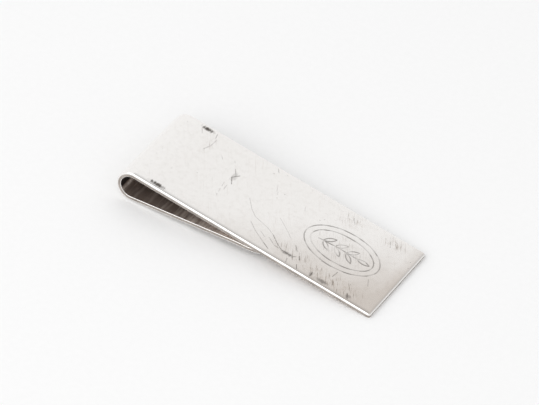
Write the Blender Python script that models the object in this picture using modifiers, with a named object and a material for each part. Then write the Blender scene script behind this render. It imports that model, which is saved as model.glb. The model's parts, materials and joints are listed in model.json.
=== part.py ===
"""One-piece sprung money clip, folded from a single strip of sheet silver.

The strip runs from the flat front leaf, round an open fold, and back along a
shorter leaf whose rounded tongue presses on the front leaf. The strip bends in
use, so it is modelled as rigid zones: back_leaf, then fold_bend and
front_shoulder, which turn together about the fold's centre, then front_leaf,
which turns about a line across the leaf. A narrow gap at each of the two
flexure lines lets the zones turn.

Shapes are drawn in the leaf frame: X from the outside of the fold towards the
open end, Y across the width, Z up, with the front leaf's outer face at Z = 0.
An empty then tips the clip the way it lies on a table, on its fold and on the
front leaf's open end. Units are metres.
"""
import math

import bmesh
import bpy
from mathutils import Matrix, Vector

# Driving dimensions
FRONT_LENGTH = 0.057
LEAF_WIDTH = 0.022
SHEET = 0.00105
BEND_INNER_RADIUS = 0.00235
BACK_SLOPE = math.radians(10.4)
TONGUE_CURVE_RADIUS = 0.026
TONGUE_REACH = 0.0365
TONGUE_CORNER_RADIUS = 0.008
FRONT_CORNER_RADIUS = 0.0005
EDGE_ROUNDING = 0.00025
GRIP_GAP = 0.00012
FLEXURE_GAP = 0.0003
SHOULDER_FLEXURE_X = 0.013
HEEL_GAP = 0.0004

# Engraved oval border on the front leaf
OVAL_CENTRE_X = 0.0442
OVAL_LENGTH = 0.0164
OVAL_WIDTH = 0.0100
OVAL_TOOL_RADIUS = 0.0003
OVAL_DEPTH = 0.00008

# Mesh fineness
BEND_STEPS = 44
BACK_STEPS = 30
CORNER_STEPS = 12
EDGE_STEPS = 2
OVAL_STEPS = 72

# Sizes that follow from the driving dimensions
BEND_OUTER_RADIUS = BEND_INNER_RADIUS + SHEET
BEND_MIDDLE_RADIUS = BEND_INNER_RADIUS + SHEET / 2
BEND_CENTRE = Vector((BEND_OUTER_RADIUS, 0.0, -BEND_OUTER_RADIUS))
BEND_TURN = math.pi + BACK_SLOPE
GRIP_HEIGHT = -SHEET - GRIP_GAP

SHARP_ANGLE = math.radians(40)
SAME_PLACE = 1e-7

SILVER_COLOUR = (0.93, 0.92, 0.90, 1.0)
SILVER_ROUGHNESS = 0.22


def direction(slope):
    """Unit vector along a leaf that rises at this slope towards the open end."""
    return Vector((math.cos(slope), 0.0, math.sin(slope)))


def outward(slope):
    """Unit vector out of the back leaf, away from the front leaf."""
    return Vector((math.sin(slope), 0.0, -math.cos(slope)))


def bend_point(turn, radius):
    """Point on the fold, where turn is 0 at the front leaf."""
    return BEND_CENTRE + radius * Vector((-math.sin(turn), 0.0, math.cos(turn)))


BACK_START = bend_point(BEND_TURN, BEND_INNER_RADIUS)
CURVE_RISE = TONGUE_CURVE_RADIUS * (1 - math.cos(BACK_SLOPE))
STRAIGHT_LENGTH = (GRIP_HEIGHT - CURVE_RISE - BACK_START.z) / math.sin(BACK_SLOPE)
CURVE_START = BACK_START + STRAIGHT_LENGTH * direction(BACK_SLOPE)
CURVE_CENTRE = CURVE_START + TONGUE_CURVE_RADIUS * outward(BACK_SLOPE)
TIP_TURN = BACK_SLOPE + math.asin((TONGUE_REACH - CURVE_CENTRE.x) / TONGUE_CURVE_RADIUS)
BACK_LENGTH = STRAIGHT_LENGTH + TONGUE_CURVE_RADIUS * TIP_TURN


def back_point(distance, depth):
    """Point on the back leaf, at a distance from the fold and a depth below the inner face."""
    if distance <= STRAIGHT_LENGTH:
        along = distance * direction(BACK_SLOPE)
        return BACK_START + along + depth * outward(BACK_SLOPE)
    turned = (distance - STRAIGHT_LENGTH) / TONGUE_CURVE_RADIUS
    return CURVE_CENTRE - (TONGUE_CURVE_RADIUS - depth) * outward(BACK_SLOPE - turned)


SHOULDER_HINGE = Vector((SHOULDER_FLEXURE_X, 0.0, -SHEET / 2))


def table_frame():
    """Matrix that lays the clip on Z = 0, on its fold and its open end, centred on the origin."""
    end_x = FRONT_LENGTH - EDGE_ROUNDING - BEND_CENTRE.x
    end_z = -SHEET + EDGE_ROUNDING - BEND_CENTRE.z
    reach = math.hypot(end_x, end_z)
    tilt = math.atan2(end_z, end_x) + math.asin((BEND_OUTER_RADIUS - EDGE_ROUNDING) / reach)
    turn = Matrix.Rotation(tilt, 4, "Y")
    fold = turn @ BEND_CENTRE
    open_end = turn @ Vector((FRONT_LENGTH - EDGE_ROUNDING, 0.0, -EDGE_ROUNDING))
    low_x = fold.x - BEND_OUTER_RADIUS
    high_x = open_end.x + EDGE_ROUNDING
    lift = BEND_OUTER_RADIUS - fold.z
    return Matrix.Translation((-(low_x + high_x) / 2, 0.0, lift)) @ turn


def clear_scene():
    for old in list(bpy.data.objects):
        bpy.data.objects.remove(old, do_unlink=True)


def new_collection(name):
    collection = bpy.data.collections.new(name)
    bpy.context.scene.collection.children.link(collection)
    return collection


def silver_material(name):
    material = bpy.data.materials.new(name)
    material.use_nodes = True
    shader = material.node_tree.nodes["Principled BSDF"]
    shader.inputs["Base Color"].default_value = SILVER_COLOUR
    shader.inputs["Metallic"].default_value = 1.0
    shader.inputs["Roughness"].default_value = SILVER_ROUGHNESS
    return material


def add_object(name, mesh, collection, origin=Vector()):
    """Object whose mesh was drawn in the leaf frame, with its own origin moved to a joint's axis."""
    mesh.transform(Matrix.Translation(-origin))
    obj = bpy.data.objects.new(name, mesh)
    obj.location = origin
    collection.objects.link(obj)
    return obj


def on_shoulder_seam(point):
    """Is this point where the fold runs straight on into the shoulder?"""
    return abs(point.x - BEND_CENTRE.x) < SAME_PLACE and point.z > BEND_CENTRE.z


def mark_rounded_edges(bm):
    """Mark the sharp edges for rounding, apart from those of the seam inside one zone."""
    weight = bm.edges.layers.float.new("bevel_weight_edge")
    for edge in bm.edges:
        inside_zone = all(on_shoulder_seam(vertex.co) for vertex in edge.verts)
        edge[weight] = float(edge.calc_face_angle() > SHARP_ANGLE and not inside_zone)


def extrude_outline(name, points, across):
    """Closed mesh made by drawing an outline of points and extruding it along a vector."""
    bm = bmesh.new()
    corners = [bm.verts.new(point) for point in points]
    face = bm.faces.new(corners)
    pushed = bmesh.ops.extrude_face_region(bm, geom=[face])
    moved = [item for item in pushed["geom"] if isinstance(item, bmesh.types.BMVert)]
    bmesh.ops.translate(bm, verts=moved, vec=across)
    bmesh.ops.recalc_face_normals(bm, faces=bm.faces)
    mark_rounded_edges(bm)
    mesh = bpy.data.meshes.new(name)
    bm.to_mesh(mesh)
    bm.free()
    return mesh


def strip_mesh(name, inner_points, outer_points):
    """Stretch of the strip: its side outline extruded across the leaf's width."""
    near_side = Vector((0.0, -LEAF_WIDTH / 2, 0.0))
    outline = [point + near_side for point in inner_points + outer_points[::-1]]
    return extrude_outline(name, outline, Vector((0.0, LEAF_WIDTH, 0.0)))


def steps(start, end, count):
    return [start + (end - start) * index / count for index in range(count + 1)]


def rounded_end_points(low_x, high_x, radius, z):
    """Plan outline of a leaf as wide as the strip, with its two far corners rounded."""
    half = LEAF_WIDTH / 2
    points = [Vector((low_x, -half, z))]
    for side, start in ((-1, -math.pi / 2), (1, 0.0)):
        centre = Vector((high_x - radius, side * (half - radius), z))
        for angle in steps(start, start + math.pi / 2, CORNER_STEPS):
            points.append(centre + radius * Vector((math.cos(angle), math.sin(angle), 0.0)))
    points.append(Vector((low_x, half, z)))
    return points


def round_edges(obj):
    """Small rounding on the marked edges of the sheet."""
    bevel = obj.modifiers.new("edge_rounding", "BEVEL")
    bevel.width = EDGE_ROUNDING
    bevel.segments = EDGE_STEPS
    bevel.limit_method = "WEIGHT"


def cut(obj, cutter, operation):
    boolean = obj.modifiers.new(cutter.name, "BOOLEAN")
    boolean.operation = operation
    boolean.solver = "EXACT"
    boolean.object = cutter


def as_cutter(obj):
    obj.hide_render = True
    obj.display_type = "WIRE"
    return obj


def oval_tool(collection):
    """Ring whose lower side engraves the oval border."""
    bpy.ops.mesh.primitive_torus_add(
        major_radius=OVAL_WIDTH / 2,
        minor_radius=OVAL_TOOL_RADIUS,
        major_segments=OVAL_STEPS,
        minor_segments=12,
        location=(0.0, 0.0, 0.0),
    )
    ring = bpy.context.object
    ring.name = "oval_engraving_tool"
    for vertex in ring.data.vertices:
        spoke = Vector((vertex.co.x, vertex.co.y, 0.0)).normalized()
        vertex.co.x += spoke.x * (OVAL_LENGTH - OVAL_WIDTH) / 2
    height = OVAL_TOOL_RADIUS - OVAL_DEPTH
    ring.data.transform(Matrix.Translation((OVAL_CENTRE_X, 0.0, height)))
    for old_home in list(ring.users_collection):
        old_home.objects.unlink(ring)
    collection.objects.link(ring)
    return as_cutter(ring)


def front_leaf(parts, cutters):
    """Flat leaf with an engraved oval near its open end."""
    outline = rounded_end_points(
        SHOULDER_FLEXURE_X + FLEXURE_GAP / 2, FRONT_LENGTH, FRONT_CORNER_RADIUS, -SHEET
    )
    mesh = extrude_outline("front_leaf", outline, Vector((0.0, 0.0, SHEET)))
    leaf = add_object("front_leaf", mesh, parts, SHOULDER_HINGE)
    round_edges(leaf)
    cut(leaf, oval_tool(cutters), "DIFFERENCE")
    return leaf


def front_shoulder(parts):
    """Flat start of the front leaf, between the fold and the leaf's flexure line."""
    ends = (BEND_CENTRE.x, SHOULDER_FLEXURE_X - FLEXURE_GAP / 2)
    inner = [Vector((x, 0.0, -SHEET)) for x in ends]
    outer = [Vector((x, 0.0, 0.0)) for x in ends]
    mesh = strip_mesh("front_shoulder", inner, outer)
    shoulder = add_object("front_shoulder", mesh, parts, BEND_CENTRE)
    round_edges(shoulder)
    return shoulder


def fold_bend(parts):
    """Round fold between the leaves."""
    turns = steps(0.0, BEND_TURN - HEEL_GAP / 2 / BEND_MIDDLE_RADIUS, BEND_STEPS)
    inner = [bend_point(turn, BEND_INNER_RADIUS) for turn in turns]
    outer = [bend_point(turn, BEND_OUTER_RADIUS) for turn in turns]
    bend = add_object("fold_bend", strip_mesh("fold_bend", inner, outer), parts, BEND_CENTRE)
    round_edges(bend)
    return bend


def back_leaf(parts, cutters):
    """Shorter leaf, which curves to press on the front leaf and ends in round corners."""
    distances = steps(HEEL_GAP / 2, BACK_LENGTH, BACK_STEPS)
    inner = [back_point(distance, 0.0) for distance in distances]
    outer = [back_point(distance, SHEET) for distance in distances]
    leaf = add_object("back_leaf", strip_mesh("back_leaf", inner, outer), parts, BEND_CENTRE)
    round_edges(leaf)
    plan_start = BEND_CENTRE.x - BEND_OUTER_RADIUS
    plan_end = back_point(BACK_LENGTH, 0.0).x
    depth = 4 * BEND_OUTER_RADIUS
    outline = rounded_end_points(plan_start, plan_end, TONGUE_CORNER_RADIUS, -depth / 2)
    for point in outline:
        point.y *= 1 + EDGE_ROUNDING / LEAF_WIDTH
    plan = extrude_outline("tongue_plan_tool", outline, Vector((0.0, 0.0, depth)))
    plan_tool = as_cutter(add_object("tongue_plan_tool", plan, cutters))
    cut(leaf, plan_tool, "INTERSECT")
    return leaf


def main():
    clear_scene()
    parts = new_collection("money_clip")
    cutters = new_collection("cutters")
    silver = silver_material("sterling_silver")
    zones = [
        front_leaf(parts, cutters),
        front_shoulder(parts),
        fold_bend(parts),
        back_leaf(parts, cutters),
    ]
    table = bpy.data.objects.new("lying_on_table", None)
    table.matrix_world = table_frame()
    parts.objects.link(table)
    for piece in zones + list(cutters.objects):
        piece.parent = table
    for zone in zones:
        zone.data.materials.append(silver)
        zone.data.shade_smooth()
        zone.data.set_sharp_from_angle(angle=SHARP_ANGLE)


main()
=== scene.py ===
"""Looks of the one-piece sprung money clip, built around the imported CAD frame.

Three closed lengths of one silver strip stand for the CAD's four zones and meet without a gap: the
front leaf, the fold and the back leaf. Each is a grid of stations along the strip and lines across
it, with rounded edges and analytic normals. Every vertex carries its place on the flat, unbent strip
in millimetres, so that wear and tarnish run on over the seams and stay put when the strip bends.

Shapes are drawn in the leaf frame: X from the outside of the fold to the open end, Y across, Z = 0 on
the front leaf's outer face. On the strip, X is the leaf frame's X over the front leaf and goes on
falling round the fold and along the back leaf, Y is across, and Z is the depth under the outer face.
Lengths are metres, apart from those on the strip.
"""
import json
import math

import bpy
import numpy as np
from mathutils import Matrix, Vector


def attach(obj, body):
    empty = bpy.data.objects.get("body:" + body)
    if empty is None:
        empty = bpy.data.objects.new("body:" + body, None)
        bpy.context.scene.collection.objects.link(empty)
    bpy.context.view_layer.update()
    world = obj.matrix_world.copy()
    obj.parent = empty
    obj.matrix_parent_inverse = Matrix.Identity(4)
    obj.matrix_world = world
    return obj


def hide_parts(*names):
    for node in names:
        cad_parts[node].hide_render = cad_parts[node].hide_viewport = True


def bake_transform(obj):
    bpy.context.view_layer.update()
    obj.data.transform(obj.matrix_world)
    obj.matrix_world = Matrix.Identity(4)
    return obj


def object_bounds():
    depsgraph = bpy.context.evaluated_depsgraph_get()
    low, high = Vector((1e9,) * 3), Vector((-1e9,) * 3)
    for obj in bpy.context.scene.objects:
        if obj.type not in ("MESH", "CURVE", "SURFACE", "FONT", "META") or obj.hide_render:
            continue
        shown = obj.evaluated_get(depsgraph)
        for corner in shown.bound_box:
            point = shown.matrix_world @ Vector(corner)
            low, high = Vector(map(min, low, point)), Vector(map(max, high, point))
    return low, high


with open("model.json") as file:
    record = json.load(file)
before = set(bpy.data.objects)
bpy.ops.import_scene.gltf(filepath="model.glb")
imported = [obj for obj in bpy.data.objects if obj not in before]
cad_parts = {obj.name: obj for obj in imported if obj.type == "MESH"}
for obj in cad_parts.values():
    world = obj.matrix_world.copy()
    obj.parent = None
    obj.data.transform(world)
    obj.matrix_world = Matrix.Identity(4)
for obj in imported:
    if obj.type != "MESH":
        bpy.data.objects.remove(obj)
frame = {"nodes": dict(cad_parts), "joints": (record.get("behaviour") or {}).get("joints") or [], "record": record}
cad_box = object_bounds()

# Millimetres in a metre
MM = 1000.0

# Places and directions that the frame gives
MOUNTS = {mount["name"]: mount for mount in frame["record"]["mounts"]}
HINGES = {joint["name"]: Vector(joint["pos_m"]) for joint in frame["joints"]}
LEAF_UP = Vector(MOUNTS["front_face"]["axis"]).normalized()
LEAF_ALONG = Vector((LEAF_UP.z, 0.0, -LEAF_UP.x))
LEAF_ACROSS = Vector((0.0, 1.0, 0.0))
BACK_OUT = Vector(MOUNTS["back_outer_face"]["axis"]).normalized()
FRONT_POINT = Vector(MOUNTS["front_face"]["pos_m"])
GRIP_POINT = Vector(MOUNTS["note_grip"]["pos_m"])
FOLD_CENTRE = HINGES["fold_flex"]


def reach(node, direction):
    """How far a CAD node reaches from the fold's centre in a direction."""
    return max((v.co - FOLD_CENTRE).dot(direction) for v in frame["nodes"][node].data.vertices)


# The strip's sizes, worked out from them; an X or an END is measured from the outside of the fold
SHEET = (FRONT_POINT - GRIP_POINT).dot(LEAF_UP)
OUTER_RADIUS = (FRONT_POINT - FOLD_CENTRE).dot(LEAF_UP)
INNER_RADIUS = OUTER_RADIUS - SHEET
BACK_SLOPE = BACK_OUT.angle(-LEAF_UP)
FOLD_TURN = math.pi + BACK_SLOPE
HALF_WIDTH = (cad_box[1].y - cad_box[0].y) / 2
FRONT_END = reach("front_leaf", LEAF_ALONG) + OUTER_RADIUS
TONGUE_END = reach("back_leaf", LEAF_ALONG) + OUTER_RADIUS
GRIP_X = (GRIP_POINT - FOLD_CENTRE).dot(LEAF_ALONG) + OUTER_RADIUS
LEAF_TO_WORLD = Matrix.Translation(FOLD_CENTRE) @ Matrix(
    (LEAF_ALONG, LEAF_ACROSS, LEAF_UP)
).transposed().to_4x4() @ Matrix.Translation((-OUTER_RADIUS, 0.0, OUTER_RADIUS))

# Shape details of the strip
TONGUE_CURVE_RADIUS = 0.026
TONGUE_CORNER_RADIUS = 0.008
FRONT_CORNER_RADIUS = 0.0005
OUTER_ROUNDING = 0.0003
INNER_ROUNDING = 0.00010
WEAR_WIDTH = 0.0010
WEAR_SLOPE = 0.24

# Mesh fineness
ROUNDING_STEPS = 6
WEAR_STEPS = 5
COARSE_STEP = 0.0007
FOLD_STEPS = 64
CORNER_STEPS = 16
ENGRAVING_STEP = 0.0001
ENGRAVING_MARGIN = 0.0004
OVAL_POINTS = 96
ARC_POINTS = 14
LEAF_INSIDE_LINES = 13
FOLD_LINES = 25
BACK_LEAF_LINES = 33

# Material slots of every piece
OUTER_SLOT = 0
INNER_SLOT = 1
EDGE_SLOT = 2

# Engraving on the front leaf, a double oval border round a plain sprig
OVAL_X = 0.04425
OVAL_Y = 0.0
OVAL_HALF_LENGTH = 0.0081
OVAL_HALF_WIDTH = 0.0052
BORDER_INSET = 0.16 * OVAL_HALF_LENGTH
STEM_START = (OVAL_X - 0.0052, OVAL_Y - 0.0003)
STEM_END = (OVAL_X + 0.0034, OVAL_Y)
STEM_BULGE = 0.02
SPRIG_LEAF_LENGTH = 0.0027
SPRIG_LEAF_BULGE = 0.16
SPRIG_LEAF_ANGLE = math.radians(42)
SPRIG_LEAF_ROOTS = (0.12, 0.42, 0.72)
SPRIG_ROOT_Y = OVAL_Y - 0.0001
GROOVE_HALF_WIDTH = 0.00016
GROOVE_DEPTH = 0.00005

# Camera, as it stood to the clip in the photograph
CAMERA_AZIMUTH = math.radians(24.1)
CAMERA_ELEVATION = math.radians(41.4)
CAMERA_ROLL = math.radians(9.6)
CAMERA_DISTANCE = 1.0407
CAMERA_LENS = 361.8
CAMERA_AIM = Vector((0.02695, 0.00117, 0.0))


def leaf_direction(slope):
    """Unit vector along a leaf that rises at this slope towards the open end, in the leaf frame."""
    return np.array((math.cos(slope), 0.0, math.sin(slope)))


def out_of_back(slope):
    """Unit vector out of the back leaf where it has this slope, in the leaf frame."""
    return np.array((math.sin(slope), 0.0, -math.cos(slope)))


FOLD_AXIS = np.array((OUTER_RADIUS, 0.0, -OUTER_RADIUS))
FOLD_LENGTH = FOLD_TURN * OUTER_RADIUS
BACK_START = FOLD_AXIS + INNER_RADIUS * out_of_back(BACK_SLOPE)
TO_CURVE_CENTRE = GRIP_X - BACK_START[0] - TONGUE_CURVE_RADIUS * math.sin(BACK_SLOPE)
STRAIGHT_LENGTH = TO_CURVE_CENTRE / math.cos(BACK_SLOPE)
CURVE_CENTRE = (
    BACK_START
    + STRAIGHT_LENGTH * leaf_direction(BACK_SLOPE)
    + TONGUE_CURVE_RADIUS * out_of_back(BACK_SLOPE)
)
TIP_TURN = BACK_SLOPE + math.asin((TONGUE_END - CURVE_CENTRE[0]) / TONGUE_CURVE_RADIUS)
BACK_LENGTH = STRAIGHT_LENGTH + TONGUE_CURVE_RADIUS * TIP_TURN


# The strip's three lengths: place of the outer face, direction along and direction out


def front_station(distance):
    return np.array((OUTER_RADIUS + distance, 0.0, 0.0)), leaf_direction(0.0), -out_of_back(0.0)


def fold_station(distance):
    turn = distance / OUTER_RADIUS
    out = np.array((-math.sin(turn), 0.0, math.cos(turn)))
    along = np.array((-math.cos(turn), 0.0, -math.sin(turn)))
    return FOLD_AXIS + OUTER_RADIUS * out, along, out


def back_station(distance):
    if distance <= STRAIGHT_LENGTH:
        out = out_of_back(BACK_SLOPE)
        place = BACK_START + distance * leaf_direction(BACK_SLOPE) + SHEET * out
        return place, leaf_direction(BACK_SLOPE), out
    slope = BACK_SLOPE - (distance - STRAIGHT_LENGTH) / TONGUE_CURVE_RADIUS
    out = out_of_back(slope)
    return CURVE_CENTRE - (TONGUE_CURVE_RADIUS - SHEET) * out, leaf_direction(slope), out


# Engraved lines, as chains of points on the front leaf


def oval_line(inset):
    """The border's outer oval, or one that lies this far inside it."""
    angles = np.radians(np.linspace(0.0, 360.0, OVAL_POINTS))
    x = OVAL_X + (OVAL_HALF_LENGTH - inset) * np.cos(angles)
    y = OVAL_Y + (OVAL_HALF_WIDTH - inset) * np.sin(angles)
    return np.stack((x, y), axis=1)


def arc_line(start, end, bulge):
    """Shallow curve between two points, bulging to its left by a share of its length."""
    start = np.array(start)
    end = np.array(end)
    share = np.linspace(0.0, 1.0, ARC_POINTS)[:, None]
    left = np.array((start[1] - end[1], end[0] - start[0]))
    return start + (end - start) * share + left * bulge * 4 * share * (1 - share)


def sprig_leaf(root, angle):
    """A leaf's two shallow curves, which meet at its root and at its tip."""
    along = SPRIG_LEAF_LENGTH * math.cos(angle)
    across = SPRIG_LEAF_LENGTH * math.sin(angle)
    tip = (root[0] + along, root[1] + across)
    return [arc_line(root, tip, bulge) for bulge in (-SPRIG_LEAF_BULGE, SPRIG_LEAF_BULGE)]


def sprig_lines():
    """A stem with paired leaves and one at its end."""
    lines = [arc_line(STEM_START, STEM_END, STEM_BULGE)]
    for share in SPRIG_LEAF_ROOTS:
        root = (STEM_START[0] + (STEM_END[0] - STEM_START[0]) * share, SPRIG_ROOT_Y)
        lines += sprig_leaf(root, -SPRIG_LEAF_ANGLE)
        lines += sprig_leaf(root, SPRIG_LEAF_ANGLE)
    return lines + sprig_leaf(STEM_END, 0.0)


def distance_to_line(x, y, line):
    """Distance of each point from a chain of points."""
    nearest = np.full(x.shape, np.inf)
    for start, end in zip(line[:-1], line[1:]):
        step = end - start
        share = ((x - start[0]) * step[0] + (y - start[1]) * step[1]) / (step @ step)
        share = np.clip(share, 0.0, 1.0)
        gap = np.hypot(x - start[0] - share * step[0], y - start[1] - share * step[1])
        nearest = np.minimum(nearest, gap)
    return nearest


def engraving(x, y):
    """Depth of the engraving as a share of a full groove, for points on the front leaf."""
    depth = np.zeros(x.shape)
    for line in (oval_line(0.0), oval_line(BORDER_INSET), *sprig_lines()):
        share = np.clip(1 - distance_to_line(x, y, line) / GROOVE_HALF_WIDTH, 0.0, 1.0)
        depth = np.maximum(depth, share * share * (3 - 2 * share))
    return depth


# Grid of one length of the strip


def spaced(start, end, step):
    return np.linspace(start, end, max(2, round((end - start) / step) + 1))


def edge_profile(outer):
    """Rounding of a face's edge and the slope that wear gives the face beside it."""
    if outer:
        return OUTER_ROUNDING, WEAR_SLOPE
    return INNER_ROUNDING, 0.0


def wear_offsets():
    """Distances from the outline at which lines run over the worn margin."""
    return OUTER_ROUNDING + WEAR_WIDTH * np.arange(1, WEAR_STEPS + 1) / WEAR_STEPS


def edge_offsets(outer):
    """Distances from a long edge at which lines run, evenly spread over its rounding and margin."""
    rounding, slope = edge_profile(outer)
    start = math.sin(math.atan(slope))
    angles = np.linspace(math.pi / 2, math.asin(start), ROUNDING_STEPS + 1)
    offsets = rounding * (1 - np.sin(angles)) / (1 - start)
    return np.concatenate((offsets, wear_offsets())) if outer else offsets


def end_stations(length, radius):
    """Stations over a free end's margin and rounded corners, closer together towards the end."""
    angles = np.linspace(0.0, math.pi / 2, CORNER_STEPS + 1)
    margin = wear_offsets()[::-1]
    return np.concatenate(
        (length - margin[margin > radius], length - radius + radius * np.sin(angles))
    )


def cross_lines(half_width, middle, outer):
    """Positions across the strip: edge lines at both sides of evenly scaled middle lines."""
    offsets = edge_offsets(outer)
    inside = half_width - offsets[-1]
    edge = half_width - offsets[:-1]
    return np.concatenate((-edge, inside * middle, edge[::-1]))


def half_width_at(distance, length, radius):
    """Half of the strip's width at a station; past the corner's start it follows the corner."""
    into = distance - (length - radius)
    if radius == 0.0 or into <= 0.0:
        return HALF_WIDTH
    return HALF_WIDTH - radius + math.sqrt(max(radius**2 - into**2, 0.0))


def outline_distance(along, across, length, radius):
    """Distance from the plan outline, and the outline's direction out as (along, across)."""
    side = np.sign(across)
    to_side = HALF_WIDTH - np.abs(across)
    if radius == 0.0:
        return to_side, np.zeros(along.shape), side
    to_end = length - along
    into_along = along - (length - radius)
    into_across = np.abs(across) - (HALF_WIDTH - radius)
    spoke = np.hypot(into_along, into_across)
    in_corner = (into_along > 0) & (into_across > 0)
    nearer_end = to_end < to_side
    distance = np.where(in_corner, radius - spoke, np.minimum(to_side, to_end))
    safe = np.maximum(spoke, 1e-9)
    out_along = np.where(in_corner, into_along / safe, nearer_end * 1.0)
    out_across = np.where(in_corner, into_across / safe * side, ~nearer_end * side)
    return np.maximum(distance, 0.0), out_along, out_across


def rounded_face(distance, out_along, out_across, outer):
    """Drop of a face near its edge, and the face's normal as (along, across, out).

    Wear lets the face fall away in a margin, and the rounding goes on from there as an arc.
    """
    rounding, worn_slope = edge_profile(outer)
    margin = np.clip(1 - (distance - rounding) / WEAR_WIDTH, 0.0, 1.0)
    worn_lean = math.sin(math.atan(worn_slope))
    arc_radius = rounding / (1 - worn_lean)
    share = np.clip(1 - distance / rounding, 0.0, 1.0)
    lean = np.where(
        share > 0.0, worn_lean + (1 - worn_lean) * share, np.sin(np.arctan(worn_slope * margin**2))
    )
    rise = np.sqrt(1 - lean**2)
    arc_drop = arc_radius * (math.sqrt(1 - worn_lean**2) - rise)
    drop = worn_slope * WEAR_WIDTH / 3 * margin**3 + np.where(share > 0.0, arc_drop, 0.0)
    return drop, np.stack((lean * out_along, lean * out_across, rise), axis=-1)


def face_grid(station, distances, middle, length, radius, outer, relief):
    """Points, normals and strip places of one face, as arrays of stations by lines."""
    half_widths = [half_width_at(distance, length, radius) for distance in distances]
    across = np.array([cross_lines(half_width, middle, outer) for half_width in half_widths])
    along = np.repeat(np.array(distances)[:, None], across.shape[1], axis=1)
    gap, out_along, out_across = outline_distance(along, across, length, radius)
    drop, normal = rounded_face(gap, out_along, out_across, outer)
    engraved = np.zeros(along.shape)
    if relief:
        engraved = relief(along + OUTER_RADIUS, across)
        slope_along = np.gradient(engraved * GROOVE_DEPTH, distances, axis=0)
        slope_across = np.gradient(engraved * GROOVE_DEPTH, across[0], axis=1)
        normal[..., 0] += slope_along
        normal[..., 1] += slope_across
        normal /= np.linalg.norm(normal, axis=-1, keepdims=True)
        drop = drop + engraved * GROOVE_DEPTH
    depth = drop if outer else SHEET - drop
    turned = 1.0 if outer else -1.0
    places, alongs, outs = (np.array(part) for part in zip(*map(station, distances)))
    points = places[:, None, :] - depth[..., None] * outs[:, None, :]
    points[..., 1] += across
    normals = (
        normal[..., 0:1] * alongs[:, None, :]
        + normal[..., 1:2] * np.array(LEAF_ACROSS)
        + turned * normal[..., 2:3] * outs[:, None, :]
    )
    strip = np.stack((along, across, depth), axis=-1)
    return points, normals, strip, engraved, gap


def grid_index(first, rows, columns):
    """Indices of a grid of vertices that starts at index first."""
    return first + np.arange(rows * columns).reshape(rows, columns)


def grid_faces(index):
    """Quads of a grid of vertices."""
    quads = np.stack((index[:-1, :-1], index[1:, :-1], index[1:, 1:], index[:-1, 1:]), axis=-1)
    return quads.reshape(-1, 4).tolist()


def wall_faces(outer_line, inner_line):
    """Quads between a face's edge line and the other face's."""
    corners = (outer_line[:-1], outer_line[1:], inner_line[1:], inner_line[:-1])
    return np.stack(corners, axis=-1).tolist()


def turned_over(faces):
    return [face[::-1] for face in faces]


def length_faces(outer_index, inner_index):
    """Faces that close one length of the strip: the outer grid's, the four walls', the inner grid's."""
    walls = turned_over(wall_faces(outer_index[:, 0], inner_index[:, 0]))
    walls += wall_faces(outer_index[:, -1], inner_index[:, -1])
    walls.append(outer_index[0].tolist() + inner_index[0, ::-1].tolist())
    walls.append(outer_index[-1, ::-1].tolist() + inner_index[-1].tolist())
    return grid_faces(outer_index), walls, turned_over(grid_faces(inner_index))


def strip_piece(name, station, distances, middles, corner_radius, along_place, materials, relief=None):
    """One closed length of the strip as an object, with its faces' normals and strip places."""
    length = distances[-1]
    outer = face_grid(station, distances, middles[0], length, corner_radius, True, relief)
    inner = face_grid(station, distances, middles[1], length, corner_radius, False, None)
    outer_index = grid_index(0, *outer[0].shape[:2])
    inner_index = grid_index(outer_index.size, *inner[0].shape[:2])
    faces = length_faces(outer_index, inner_index)
    _, along, out = station(0.0)
    if np.cross(along, LEAF_ACROSS) @ out < 0:
        faces = tuple(turned_over(part) for part in faces)
    outer_faces, walls, inner_faces = faces

    points, normals, strip, engraved, gap = (
        np.concatenate([part.reshape(-1, *part.shape[2:]) for part in pair])
        for pair in zip(outer, inner)
    )
    on_rounding = gap[np.array(inner_faces)].mean(axis=1) < INNER_ROUNDING
    mesh = bpy.data.meshes.new(name)
    mesh.from_pydata(points.tolist(), [], outer_faces + walls + inner_faces)
    for material in materials:
        mesh.materials.append(material)
    slots = [OUTER_SLOT] * len(outer_faces) + [EDGE_SLOT] * len(walls)
    slots += np.where(on_rounding, OUTER_SLOT, INNER_SLOT).tolist()
    mesh.polygons.foreach_set("material_index", slots)
    strip[:, 0] = along_place(strip[:, 0])
    strip_mm = mesh.attributes.new("strip_mm", "FLOAT_VECTOR", "POINT")
    strip_mm.data.foreach_set("vector", (strip * MM).astype(np.float32).ravel())
    groove = mesh.attributes.new("engraved", "FLOAT", "POINT")
    groove.data.foreach_set("value", engraved.astype(np.float32))
    mesh.transform(LEAF_TO_WORLD)
    turn = np.array(LEAF_TO_WORLD.to_3x3())
    mesh.shade_smooth()
    mesh.normals_split_custom_set_from_vertices((normals @ turn.T).tolist())
    piece = bpy.data.objects.new(name, mesh)
    bpy.context.scene.collection.objects.link(piece)
    return piece


# Node helpers

# Sockets of the mix node when it mixes colours
MIX_FACTOR = 0
MIX_FIRST = 6
MIX_SECOND = 7
MIX_RESULT = 2


def add(tree, kind, inputs=None, **settings):
    """New node with its settings and inputs; an input is a value or a socket to link."""
    made = tree.nodes.new(kind)
    for name, value in settings.items():
        setattr(made, name, value)
    for name, value in (inputs or {}).items():
        if isinstance(value, bpy.types.NodeSocket):
            tree.links.new(value, made.inputs[name])
        else:
            made.inputs[name].default_value = value
    return made


def maths(tree, operation, *values, clamp=False):
    return add(
        tree, "ShaderNodeMath", dict(enumerate(values)), operation=operation, use_clamp=clamp
    ).outputs[0]


def vector_maths(tree, operation, *values, output=0):
    made = add(tree, "ShaderNodeVectorMath", dict(enumerate(values)), operation=operation)
    return made.outputs[output]


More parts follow.
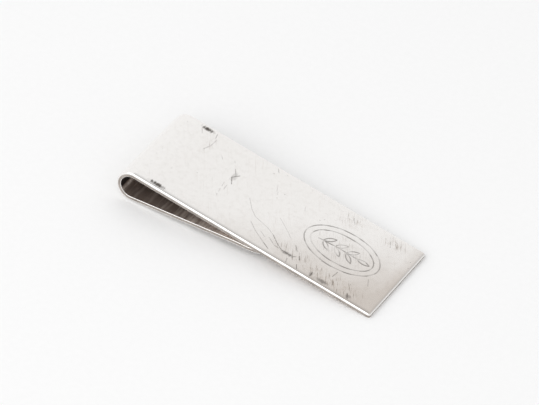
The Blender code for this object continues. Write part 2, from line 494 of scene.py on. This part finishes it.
def remap(tree, value, low, high, to_low=0.0, to_high=1.0):
    """Smooth step from to_low at low to to_high at high."""
    inputs = {0: value, 1: low, 2: high, 3: to_low, 4: to_high}
    return add(
        tree, "ShaderNodeMapRange", inputs, interpolation_type="SMOOTHSTEP", clamp=True
    ).outputs[0]


def noise(tree, place, scale, detail=2.0, roughness=0.5):
    inputs = {"Vector": place, "Scale": scale, "Detail": detail, "Roughness": roughness}
    return add(tree, "ShaderNodeTexNoise", inputs).outputs["Fac"]


def mix_colour(tree, factor, first, second):
    inputs = {MIX_FACTOR: factor, MIX_FIRST: first, MIX_SECOND: second}
    return add(tree, "ShaderNodeMix", inputs, data_type="RGBA").outputs[MIX_RESULT]


def stretched(tree, place, angle, scale):
    """The place turned about the leaf's normal and stretched, for texture that runs one way."""
    inputs = {"Vector": place, "Rotation": (0.0, 0.0, angle), "Scale": scale}
    return add(tree, "ShaderNodeMapping", inputs, vector_type="TEXTURE").outputs[0]


def segment_group():
    """Node group that gives the distance from a place to the segment between two points."""
    tree = bpy.data.node_groups.new("distance_to_segment", "ShaderNodeTree")
    for name in ("Place", "From", "To"):
        tree.interface.new_socket(name, in_out="INPUT", socket_type="NodeSocketVector")
    tree.interface.new_socket("Distance", in_out="OUTPUT", socket_type="NodeSocketFloat")
    entry = add(tree, "NodeGroupInput")
    flat = vector_maths(tree, "MULTIPLY", entry.outputs["Place"], (1.0, 1.0, 0.0))
    to_place = vector_maths(tree, "SUBTRACT", flat, entry.outputs["From"])
    to_end = vector_maths(tree, "SUBTRACT", entry.outputs["To"], entry.outputs["From"])
    onto = vector_maths(tree, "DOT_PRODUCT", to_place, to_end, output="Value")
    length = vector_maths(tree, "DOT_PRODUCT", to_end, to_end, output="Value")
    share = maths(tree, "DIVIDE", onto, length, clamp=True)
    foot = add(tree, "ShaderNodeVectorMath", {0: to_end, "Scale": share}, operation="SCALE")
    gap = vector_maths(tree, "DISTANCE", to_place, foot.outputs[0], output="Value")
    leave = add(tree, "NodeGroupOutput")
    tree.links.new(gap, leave.inputs["Distance"])
    return tree


SEGMENT = segment_group()

# Wear on the front leaf's outer face, in strip millimetres. The offset moves every scratch, spot
# and smudge along and across.
MARKS_OFFSET = (0.25, 0.27)
# Scratches: half width, strength, then the points that the scratch runs through.
SCRATCHES = [
    (0.11, 0.36, [(23.2, -0.8), (25.0, -3.0), (26.6, -4.3), (30.0, -5.2), (31.8, -6.1)]),
    (0.16, 0.66, [(31.8, -6.1), (33.5, -7.5), (35.0, -8.4), (37.1, -8.5), (38.0, -8.1)]),
    (0.13, 0.40, [(26.6, -6.0), (28.5, -7.5), (31.3, -9.1)]),
    (0.15, 0.75, [(31.3, -9.1), (32.8, -9.9)]),
    (0.13, 0.50, [(31.5, -7.2), (33.3, -8.3), (34.4, -8.4)]),
    (0.11, 0.35, [(29.4, -6.9), (30.8, -7.7)]),
    (0.10, 0.30, [(30.4, -1.2), (33.3, -3.2), (35.0, -4.6)]),
    (0.14, 0.65, [(36.5, -5.4), (37.5, -6.6)]),
    (0.17, 0.85, [(38.5, -7.4), (39.0, -8.3)]),
    (0.14, 0.75, [(39.2, -9.7), (39.8, -10.6)]),
    (0.13, 0.65, [(37.0, -9.6), (37.3, -10.6)]),
    (0.15, 0.80, [(42.6, -9.3), (42.7, -10.5)]),
    (0.14, 0.60, [(46.3, -5.8), (46.1, -7.6)]),
    (0.15, 0.85, [(50.5, -9.4), (51.2, -10.6)]),
    (0.11, 0.50, [(51.8, -3.4), (52.6, -5.0)]),
    (0.10, 0.30, [(25.5, 6.1), (26.3, 4.4)]),
    (0.10, 0.30, [(32.6, 4.8), (33.1, 3.8)]),
    (0.12, 0.45, [(50.0, 8.4), (50.7, 7.0)]),
    (0.12, 0.40, [(41.4, 8.9), (42.3, 7.6)]),
    (0.13, 0.60, [(17.0, 4.0), (18.0, 2.5)]),
    (0.15, 0.75, [(18.6, 3.0), (17.6, 1.6), (18.5, 0.0)]),
    (0.10, 0.45, [(17.2, -0.7), (17.4, -1.8)]),
    (0.10, 0.45, [(18.0, -0.9), (18.1, -2.3)]),
    (0.10, 0.35, [(17.5, -2.6), (17.7, -3.5)]),
    (0.12, 0.40, [(17.7, -4.2), (18.0, -4.7)]),
    (0.13, 0.40, [(6.2, 9.0), (6.9, 7.9)]),
    (0.15, 0.40, [(9.4, 9.6), (9.7, 8.4)]),
    (0.17, 0.32, [(10.1, 8.2), (10.0, 6.0), (9.4, 4.4)]),
    (0.12, 0.30, [(13.0, 5.3), (13.7, 4.5)]),
    (0.12, 0.50, [(23.3, 10.0), (23.9, 9.2)]),
]
# Spots of dark tarnish: centre, half length along, half width across, strength.
SPOTS = [
    ((7.3, 9.55), 1.7, 0.70, 1.0),
    ((7.8, -10.3), 2.2, 0.62, 1.0),
    ((17.9, 2.0), 0.8, 1.8, 0.25),
    ((45.2, -10.1), 1.9, 0.60, 0.60),
    ((42.6, -9.9), 0.6, 0.8, 0.45),
    ((51.0, -10.0), 0.8, 0.7, 0.45),
    ((36.3, -8.5), 1.8, 0.6, 0.60),
]
# Soft smudges of warm film, given the same way.
SMUDGES = [
    ((9.6, 6.0), 1.4, 3.6, 0.20),
    ((44.0, -0.4), 7.8, 5.0, 0.22),
    ((37.6, -7.6), 6.5, 2.6, 0.42),
    ((46.5, -8.8), 9.0, 2.8, 0.72),
    ((41.6, 8.0), 3.4, 2.8, 0.42),
    ((51.0, 8.2), 3.4, 2.4, 0.42),
]
# Polishing lines: the way they run, in degrees, and the noise level above which they show.
HAIRLINES = [(12.0, 0.64), (-33.0, 0.66), (-58.0, 0.60)]
# The way that the dark streaks in the smudges run
STREAK_ANGLE = math.radians(-62)

# How far noise is drawn out: the way it runs, across that, and into the sheet
HAIRLINE_STRETCH = (7.0, 0.16, 1.0)
STREAK_STRETCH = (2.6, 0.28, 1.0)
SPOT_STRETCH = (0.34, 1.3, 1.0)
INSIDE_STRETCH = (0.55, 6.0, 1.0)
CUT_EDGE_STRETCH = (3.5, 3.5, 0.10)

# Darkening of the outer faces' colour towards a warm grey. A step is the value where it starts, the value where it
# ends, and what it goes from and to. Over the leaf it follows a slant, the place along plus a share of the place
# across, blurred by clouds; after that come places along and levels of noise.
DARKENING_ACROSS = -1.8
DARKENING_CLOUD = 20.0
DARKENING_OVER_LEAF = (37.0, 90.0)
DARKENING_AT_OPEN_END = (54.0, 56.8, 0.0, 0.30)
DARKENING_PAST_FOLD = (2.0, 9.0, 0.0, 0.09)
DARKENING_ROUND_FOLD = (-0.5, -3.0, 0.0, 0.65)
DARKENING_PATCHES = (0.35, 0.62, 0.5, 1.0)
DARKENING_MOTTLE = (0.45, 0.75, 0.0, 0.10)
# It fades out over the rounded edges, from this depth under the face to this one
DARKENING_EDGE_FADE = (0.07, 0.16, 1.0, 0.15)

# On the inner face, in strip millimetres: how far from the fold's middle the tarnish turns pale,
# the two sides of the blackest stretch, each from none to full, and a paler band beside it
INSIDE_CLOUD = 14.0
INSIDE_TURNS_PALE = (14.0, 36.0)
BLACK_LEAF_SIDE = (0.6, -0.3)
BLACK_FAR_SIDE = (-4.2, -3.7)
PALE_BAND = -4.7
PALE_BAND_FADE = (0.55, 0.20)

# Colours, as red, green, blue and alpha
CLEAN_SILVER = (0.955, 0.938, 0.918, 1.0)
DARKER_SILVER = (0.67, 0.615, 0.567, 1.0)
SMUDGE = (0.50, 0.425, 0.36, 1.0)
TARNISH = (0.115, 0.100, 0.088, 1.0)
GROOVE_TARNISH = (0.21, 0.19, 0.175, 1.0)
# Cut edges: grain varies between these two, and both are darker and warmer than the silver as a painted reflection
# of dark surroundings and painted shade against the pale floor
CUT_PAINTED_REFLECTION_PALE = (0.52, 0.475, 0.44, 1.0)
CUT_PAINTED_REFLECTION_DARK = (0.34, 0.30, 0.27, 1.0)
INSIDE_BLACK = (0.05, 0.042, 0.038, 1.0)
INSIDE_DARK = (0.36, 0.29, 0.25, 1.0)
INSIDE_PALE = (0.92, 0.84, 0.78, 1.0)
FLOOR_GREY = (0.90, 0.90, 0.90, 1.0)
FLOOR_PALE = (0.93, 0.93, 0.93, 1.0)
BLACK = (0.0, 0.0, 0.0, 1.0)
WHITE = (1.0, 1.0, 1.0, 1.0)


def mark_point(point):
    """A mark's point on the strip, with the marks' offset."""
    return point[0] + MARKS_OFFSET[0], point[1] + MARKS_OFFSET[1], 0.0


def scratch_mask(tree, place):
    """Strength of the scratches, broken up along their way."""
    grain = noise(tree, place, scale=2.3, detail=3.0)
    broken = remap(tree, grain, 0.30, 0.52, 0.25, 0.90)
    total = None
    for half_width, strength, points in SCRATCHES:
        nearest = None
        for start, end in zip(points[:-1], points[1:]):
            step = add(tree, "ShaderNodeGroup", node_tree=SEGMENT)
            tree.links.new(place, step.inputs["Place"])
            step.inputs["From"].default_value = mark_point(start)
            step.inputs["To"].default_value = mark_point(end)
            gap = step.outputs["Distance"]
            nearest = maths(tree, "MINIMUM", nearest, gap) if nearest else gap
        core = 0.2 * half_width
        share = remap(tree, nearest, half_width, core, 0.0, strength)
        total = maths(tree, "MAXIMUM", total, share) if total else share
    return maths(tree, "MULTIPLY", total, broken)


def ellipse_distance(tree, place, centre, half_length, half_width):
    """Distance from an ellipse's centre as a share of its size."""
    moved = vector_maths(tree, "SUBTRACT", place, mark_point(centre))
    scaled = vector_maths(tree, "MULTIPLY", moved, (1 / half_length, 1 / half_width, 0.0))
    return vector_maths(tree, "LENGTH", scaled, output="Value")


def spot_mask(tree, place):
    """Share of dark tarnish in the spots, ragged at their rims."""
    run = stretched(tree, place, 0.0, SPOT_STRETCH)
    mottle = noise(tree, run, scale=1.0, detail=4.0, roughness=0.70)
    total = None
    for centre, half_length, half_width, strength in SPOTS:
        spread = ellipse_distance(tree, place, centre, half_length, half_width)
        inside = remap(tree, spread, 1.6, 0.0, 0.0, 0.58)
        ragged = maths(tree, "ADD", inside, maths(tree, "SUBTRACT", mottle, 0.68))
        share = remap(tree, ragged, 0.0, 0.40, 0.0, strength)
        total = maths(tree, "MAXIMUM", total, share) if total else share
    return total


def smudge_masks(tree, place):
    """Shares of soft warm film and of thin dark streaks in the smudges."""
    mottle = noise(tree, place, scale=1.1, detail=5.0, roughness=0.65)
    run = stretched(tree, place, STREAK_ANGLE, STREAK_STRETCH)
    streaks = noise(tree, run, scale=1.0, detail=4.0, roughness=0.65)
    blotches = remap(tree, mottle, 0.42, 0.70, 0.0, 0.5)
    uneven = maths(tree, "ADD", blotches, remap(tree, streaks, 0.48, 0.68))
    total = None
    for centre, half_length, half_width, strength in SMUDGES:
        spread = ellipse_distance(tree, place, centre, half_length, half_width)
        share = remap(tree, spread, 1.1, 0.2, 0.0, strength)
        total = maths(tree, "MAXIMUM", total, share) if total else share
    soft = maths(tree, "MULTIPLY", total, uneven, clamp=True)
    dark = maths(tree, "MULTIPLY", total, remap(tree, streaks, 0.54, 0.68))
    return soft, dark


def hairline_mask(tree, place):
    """Fine polishing lines and rubs that run several ways."""
    total = None
    for angle, threshold in HAIRLINES:
        run = stretched(tree, place, math.radians(angle), HAIRLINE_STRETCH)
        lines = noise(tree, run, scale=1.0, detail=3.0, roughness=0.6)
        share = remap(tree, lines, threshold, threshold + 0.10)
        total = maths(tree, "ADD", total, share) if total else share
    return maths(tree, "MINIMUM", total, 1.0)


def speck_mask(tree, place):
    """Sparse small pits: dots in a pattern of cells, kept where a broad noise is high."""
    inputs = {"Vector": place, "Scale": 0.9, "Randomness": 1.0}
    cells = add(tree, "ShaderNodeTexVoronoi", inputs)
    dots = remap(tree, cells.outputs["Distance"], 0.13, 0.05)
    kept = remap(tree, noise(tree, place, scale=0.35, detail=1.0), 0.52, 0.62)
    return maths(tree, "MULTIPLY", dots, kept)


def shader_of(material):
    material.use_nodes = True
    tree = material.node_tree
    return tree, tree.nodes["Principled BSDF"]


def set_bump(tree, shader, height):
    """Relief from a height in millimetres."""
    bump = add(tree, "ShaderNodeBump", {"Height": height, "Distance": 1 / MM, "Strength": 1.0})
    tree.links.new(bump.outputs[0], shader.inputs["Normal"])


def strip_place(tree):
    return add(tree, "ShaderNodeAttribute", attribute_name="strip_mm").outputs["Vector"]


def darkening_share(tree, place, cloud, mottle):
    """Share of darkening: slight on the leaf, stronger towards the open end and the near edge, and
    patchy on the outside of the fold and of the back leaf."""
    axes = add(tree, "ShaderNodeSeparateXYZ", {0: place})
    along = axes.outputs["X"]
    across = maths(tree, "MULTIPLY", axes.outputs["Y"], DARKENING_ACROSS)
    slanting = maths(tree, "ADD", along, across)
    slanting = maths(tree, "ADD", slanting, maths(tree, "MULTIPLY", cloud, DARKENING_CLOUD))
    darkened = remap(tree, slanting, *DARKENING_OVER_LEAF)
    darkened = maths(tree, "ADD", darkened, remap(tree, along, *DARKENING_AT_OPEN_END))
    darkened = maths(tree, "ADD", darkened, remap(tree, along, *DARKENING_PAST_FOLD))
    patches = remap(tree, cloud, *DARKENING_PATCHES)
    round_fold = maths(tree, "MULTIPLY", remap(tree, along, *DARKENING_ROUND_FOLD), patches)
    darkened = maths(tree, "ADD", darkened, round_fold)
    darkened = maths(tree, "ADD", darkened, remap(tree, mottle, *DARKENING_MOTTLE), clamp=True)
    edge_fade = remap(tree, axes.outputs["Z"], *DARKENING_EDGE_FADE)
    return maths(tree, "MULTIPLY", darkened, edge_fade)


def groove_share(tree, place):
    """Share of dark tarnish in the engraved lines, worn away in places."""
    engraved = add(tree, "ShaderNodeAttribute", attribute_name="engraved").outputs["Fac"]
    wear = noise(tree, place, scale=0.45, detail=2.0)
    return maths(tree, "MULTIPLY", engraved, remap(tree, wear, 0.40, 0.60, 0.18, 1.0))


def worn_silver():
    """Outer face and rounded edges: satin-worn sterling silver."""
    material = bpy.data.materials.new("worn_silver")
    tree, shader = shader_of(material)
    place = strip_place(tree)
    cloud = noise(tree, place, scale=0.16, detail=4.0, roughness=0.55)
    mottle = noise(tree, place, scale=0.9, detail=4.0, roughness=0.6)
    darkened = darkening_share(tree, place, cloud, mottle)
    scratches = scratch_mask(tree, place)
    spots = spot_mask(tree, place)
    smudges, dark_streaks = smudge_masks(tree, place)
    hairlines = hairline_mask(tree, place)
    specks = speck_mask(tree, place)

    # Colour darker and warmer towards the open end and the near edge, and in patches round the fold
    colour = mix_colour(tree, darkened, CLEAN_SILVER, DARKER_SILVER)
    colour = mix_colour(tree, smudges, colour, SMUDGE)
    colour = mix_colour(tree, dark_streaks, colour, TARNISH)
    for mask, strength, tint in (
        (hairlines, 0.16, SMUDGE),
        (spots, 0.97, TARNISH),
        (specks, 0.45, TARNISH),
    ):
        colour = mix_colour(tree, maths(tree, "MULTIPLY", mask, strength), colour, tint)
    colour = mix_colour(tree, scratches, colour, TARNISH)
    colour = mix_colour(tree, groove_share(tree, place), colour, GROOVE_TARNISH)
    tree.links.new(colour, shader.inputs["Base Color"])

    roughness = remap(tree, mottle, 0.35, 0.70, 0.15, 0.22)
    for mask, amount in ((hairlines, 0.06), (spots, 0.25), (scratches, 0.25), (darkened, 0.06)):
        roughness = maths(tree, "ADD", roughness, maths(tree, "MULTIPLY", mask, amount))
    tree.links.new(roughness, shader.inputs["Roughness"])

    # Heights in millimetres
    height = maths(tree, "MULTIPLY", cloud, 0.010)
    for mask, amount in ((hairlines, -0.0008), (mottle, 0.0006), (specks, -0.01)):
        height = maths(tree, "ADD", height, maths(tree, "MULTIPLY", mask, amount))
    set_bump(tree, shader, height)
    shader.inputs["Metallic"].default_value = 1.0
    return material


def tarnished_silver():
    """Inner face: brown-grey tarnish, darkest in the fold, with streaks across the strip."""
    material = bpy.data.materials.new("tarnished_silver")
    tree, shader = shader_of(material)
    place = strip_place(tree)
    along = add(tree, "ShaderNodeSeparateXYZ", {0: place}).outputs["X"]
    cloud = noise(tree, place, scale=0.35, detail=4.0, roughness=0.6)
    run = stretched(tree, place, 0.0, INSIDE_STRETCH)
    streaks = noise(tree, run, scale=1.0, detail=4.0, roughness=0.6)
    fold_middle = (OUTER_RADIUS - FOLD_LENGTH / 2) * MM
    from_fold = maths(tree, "ABSOLUTE", maths(tree, "SUBTRACT", along, fold_middle))
    spread = maths(tree, "ADD", from_fold, maths(tree, "MULTIPLY", cloud, INSIDE_CLOUD))
    pale = remap(tree, spread, *INSIDE_TURNS_PALE)
    pale = maths(tree, "ADD", pale, remap(tree, streaks, 0.33, 0.62, -0.45, 0.20), clamp=True)
    colour = mix_colour(tree, pale, INSIDE_DARK, INSIDE_PALE)
    far_side = remap(tree, along, *BLACK_FAR_SIDE)
    black = maths(tree, "MULTIPLY", far_side, remap(tree, along, *BLACK_LEAF_SIDE))
    colour = mix_colour(tree, black, colour, INSIDE_BLACK)
    from_band = maths(tree, "ABSOLUTE", maths(tree, "SUBTRACT", along, PALE_BAND))
    in_band = remap(tree, from_band, *PALE_BAND_FADE)
    band = maths(tree, "MULTIPLY", in_band, remap(tree, cloud, 0.3, 0.6))
    colour = mix_colour(tree, band, colour, INSIDE_PALE)
    tree.links.new(colour, shader.inputs["Base Color"])
    tree.links.new(remap(tree, streaks, 0.3, 0.7, 0.30, 0.48), shader.inputs["Roughness"])
    # Heights in millimetres
    streak_height = maths(tree, "MULTIPLY", streaks, 0.004)
    cloud_height = maths(tree, "MULTIPLY", cloud, 0.01)
    set_bump(tree, shader, maths(tree, "ADD", streak_height, cloud_height))
    shader.inputs["Metallic"].default_value = 0.78
    return material


def cut_edge_silver_painted_reflection():
    """Cut edges: duller silver with fine lines along the strip, coloured darker and warmer than the silver as a
    painted reflection and painted shade, so the edges read against the pale floor.
    """
    material = bpy.data.materials.new("cut_edge_silver_painted_reflection")
    tree, shader = shader_of(material)
    place = strip_place(tree)
    cloud = noise(tree, place, scale=0.45, detail=4.0, roughness=0.6)
    run = stretched(tree, place, 0.0, CUT_EDGE_STRETCH)
    lines = noise(tree, run, scale=1.0, detail=3.0, roughness=0.6)
    dull = maths(tree, "MULTIPLY", maths(tree, "ADD", cloud, lines), 0.5)
    dull = remap(tree, dull, 0.38, 0.62)
    # Painted reflection and shade: the cut edges' darker, warmer colour
    tree.links.new(mix_colour(tree, dull, CUT_PAINTED_REFLECTION_PALE, CUT_PAINTED_REFLECTION_DARK), shader.inputs["Base Color"])
    tree.links.new(remap(tree, lines, 0.3, 0.7, 0.30, 0.46), shader.inputs["Roughness"])
    set_bump(tree, shader, maths(tree, "MULTIPLY", lines, 0.004))
    shader.inputs["Metallic"].default_value = 1.0
    return material


# Pieces


def front_stations():
    """Stations along the front leaf, close together over the engraving and at the corners."""
    window = OVAL_HALF_LENGTH + ENGRAVING_MARGIN
    start = OVAL_X - window - OUTER_RADIUS
    end = OVAL_X + window - OUTER_RADIUS
    length = FRONT_END - OUTER_RADIUS
    corners = end_stations(length, FRONT_CORNER_RADIUS)
    return np.concatenate(
        (
            spaced(0.0, start, COARSE_STEP)[:-1],
            spaced(start, end, ENGRAVING_STEP),
            spaced(end, corners[0], COARSE_STEP)[1:-1],
            corners,
        )
    )


def front_lines():
    """Middle lines across the front leaf, close together over the engraving."""
    window = OVAL_HALF_WIDTH + ENGRAVING_MARGIN
    inside = HALF_WIDTH - OUTER_ROUNDING - WEAR_WIDTH
    low = OVAL_Y - window
    high = OVAL_Y + window
    lines = np.concatenate(
        (
            spaced(-inside, low, COARSE_STEP)[:-1],
            spaced(low, high, ENGRAVING_STEP),
            spaced(high, inside, COARSE_STEP)[1:],
        )
    )
    return lines / inside


def even_lines(count):
    return np.linspace(-1.0, 1.0, count)


def make_front_leaf(materials):
    piece = strip_piece(
        "front_leaf_sheet",
        front_station,
        front_stations(),
        (front_lines(), even_lines(LEAF_INSIDE_LINES)),
        corner_radius=FRONT_CORNER_RADIUS,
        along_place=lambda distance: OUTER_RADIUS + distance,
        materials=materials,
        relief=engraving,
    )
    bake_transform(piece)
    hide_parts("front_leaf", "front_shoulder")


def make_fold(materials):
    piece = strip_piece(
        "fold_sheet",
        fold_station,
        np.linspace(0.0, FOLD_LENGTH, FOLD_STEPS + 1),
        (even_lines(FOLD_LINES), even_lines(FOLD_LINES)),
        corner_radius=0.0,
        along_place=lambda distance: OUTER_RADIUS - distance,
        materials=materials,
    )
    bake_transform(piece)
    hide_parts("fold_bend")


def make_back_leaf(materials):
    corners = end_stations(BACK_LENGTH, TONGUE_CORNER_RADIUS)
    distances = np.concatenate((spaced(0.0, corners[0], COARSE_STEP)[:-1], corners))
    piece = strip_piece(
        "back_leaf_sheet",
        back_station,
        distances,
        (even_lines(BACK_LEAF_LINES), even_lines(BACK_LEAF_LINES)),
        corner_radius=TONGUE_CORNER_RADIUS,
        along_place=lambda distance: OUTER_RADIUS - FOLD_LENGTH - distance,
        materials=materials,
    )
    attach(piece, "back_leaf")
    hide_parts("back_leaf")


# Stage

FLOOR_HALF_SIZE = 3.0
# Surroundings, as steps of brightness: OVERHEAD_SHADE over how steeply a direction points up, and
# PATCH_SHADE over how well it agrees with the direction of a darker patch behind the clip
OVERHEAD_SHADE = (0.76, 0.94, 1.0, 0.64)
PATCH_DIRECTION = (0.55, 0.68, 0.48)
PATCH_SHADE = (0.80, 0.96, 1.0, 0.76)
SURROUNDINGS_STRENGTH = 0.93


def make_floor():
    """Wide plain floor that the clip lies on."""
    half = FLOOR_HALF_SIZE
    mesh = bpy.data.meshes.new("studio_floor")
    corners = [(-half, -half, 0.0), (half, -half, 0.0), (half, half, 0.0), (-half, half, 0.0)]
    mesh.from_pydata(corners, [], [(0, 1, 2, 3)])
    material = bpy.data.materials.new("pale_floor")
    tree, shader = shader_of(material)
    place = add(tree, "ShaderNodeTexCoord").outputs["Object"]
    grain = noise(tree, place, scale=900.0, detail=3.0)
    colour = mix_colour(tree, grain, FLOOR_GREY, FLOOR_PALE)
    tree.links.new(colour, shader.inputs["Base Color"])
    shader.inputs["Roughness"].default_value = 0.9
    shader.inputs["Specular IOR Level"].default_value = 0.1
    mesh.materials.append(material)
    floor = bpy.data.objects.new("studio_floor", mesh)
    bpy.context.scene.collection.objects.link(floor)


def make_world():
    """Soft white surroundings, darker overhead and in a patch behind the open end."""
    world = bpy.data.worlds.new("studio")
    bpy.context.scene.world = world
    world.use_nodes = True
    tree = world.node_tree
    direction = add(tree, "ShaderNodeTexCoord").outputs["Generated"]
    upwards = add(tree, "ShaderNodeSeparateXYZ", {0: direction}).outputs["Z"]
    overhead = remap(tree, upwards, *OVERHEAD_SHADE)
    towards = vector_maths(tree, "DOT_PRODUCT", direction, PATCH_DIRECTION, output="Value")
    patch = remap(tree, towards, *PATCH_SHADE)
    level = maths(tree, "MULTIPLY", overhead, patch)
    background = tree.nodes["Background"]
    tree.links.new(mix_colour(tree, level, BLACK, WHITE), background.inputs["Color"])
    background.inputs["Strength"].default_value = SURROUNDINGS_STRENGTH


def view_back(azimuth, elevation):
    """Direction from the clip to a viewer; azimuth 0 is towards -Y and 90 degrees towards +X."""
    level = math.cos(elevation)
    return Vector((math.sin(azimuth) * level, -math.cos(azimuth) * level, math.sin(elevation)))


def add_softbox(name, azimuth, elevation, distance, size, power):
    """Square area light that faces the clip, its angles in degrees."""
    light = bpy.data.lights.new(name, "AREA")
    light.shape = "SQUARE"
    light.size = size
    light.energy = power
    lamp = bpy.data.objects.new(name, light)
    back = view_back(math.radians(azimuth), math.radians(elevation))
    lamp.location = back * distance
    lamp.rotation_mode = "QUATERNION"
    lamp.rotation_quaternion = (-back).to_track_quat("-Z", "Y")
    bpy.context.scene.collection.objects.link(lamp)


def make_camera():
    camera_data = bpy.data.cameras.new("photo_camera")
    camera_data.sensor_width = 36.0
    camera_data.lens = CAMERA_LENS
    camera_data.clip_end = 10.0
    camera = bpy.data.objects.new("photo_camera", camera_data)
    back = view_back(CAMERA_AZIMUTH, CAMERA_ELEVATION)
    camera.location = LEAF_TO_WORLD @ CAMERA_AIM + back * CAMERA_DISTANCE
    camera.rotation_mode = "QUATERNION"
    facing = (-back).to_track_quat("-Z", "Y")
    roll = Matrix.Rotation(CAMERA_ROLL, 3, "Z").to_quaternion()
    camera.rotation_quaternion = facing @ roll
    bpy.context.scene.collection.objects.link(camera)
    bpy.context.scene.camera = camera


def main():
    materials = (worn_silver(), tarnished_silver(), cut_edge_silver_painted_reflection())
    make_front_leaf(materials)
    make_fold(materials)
    make_back_leaf(materials)
    make_floor()
    make_world()
    add_softbox("key_softbox", azimuth=-25, elevation=42, distance=1.5, size=1.6, power=10.5)
    make_camera()
    bpy.context.scene.view_settings.view_transform = "Standard"


main()
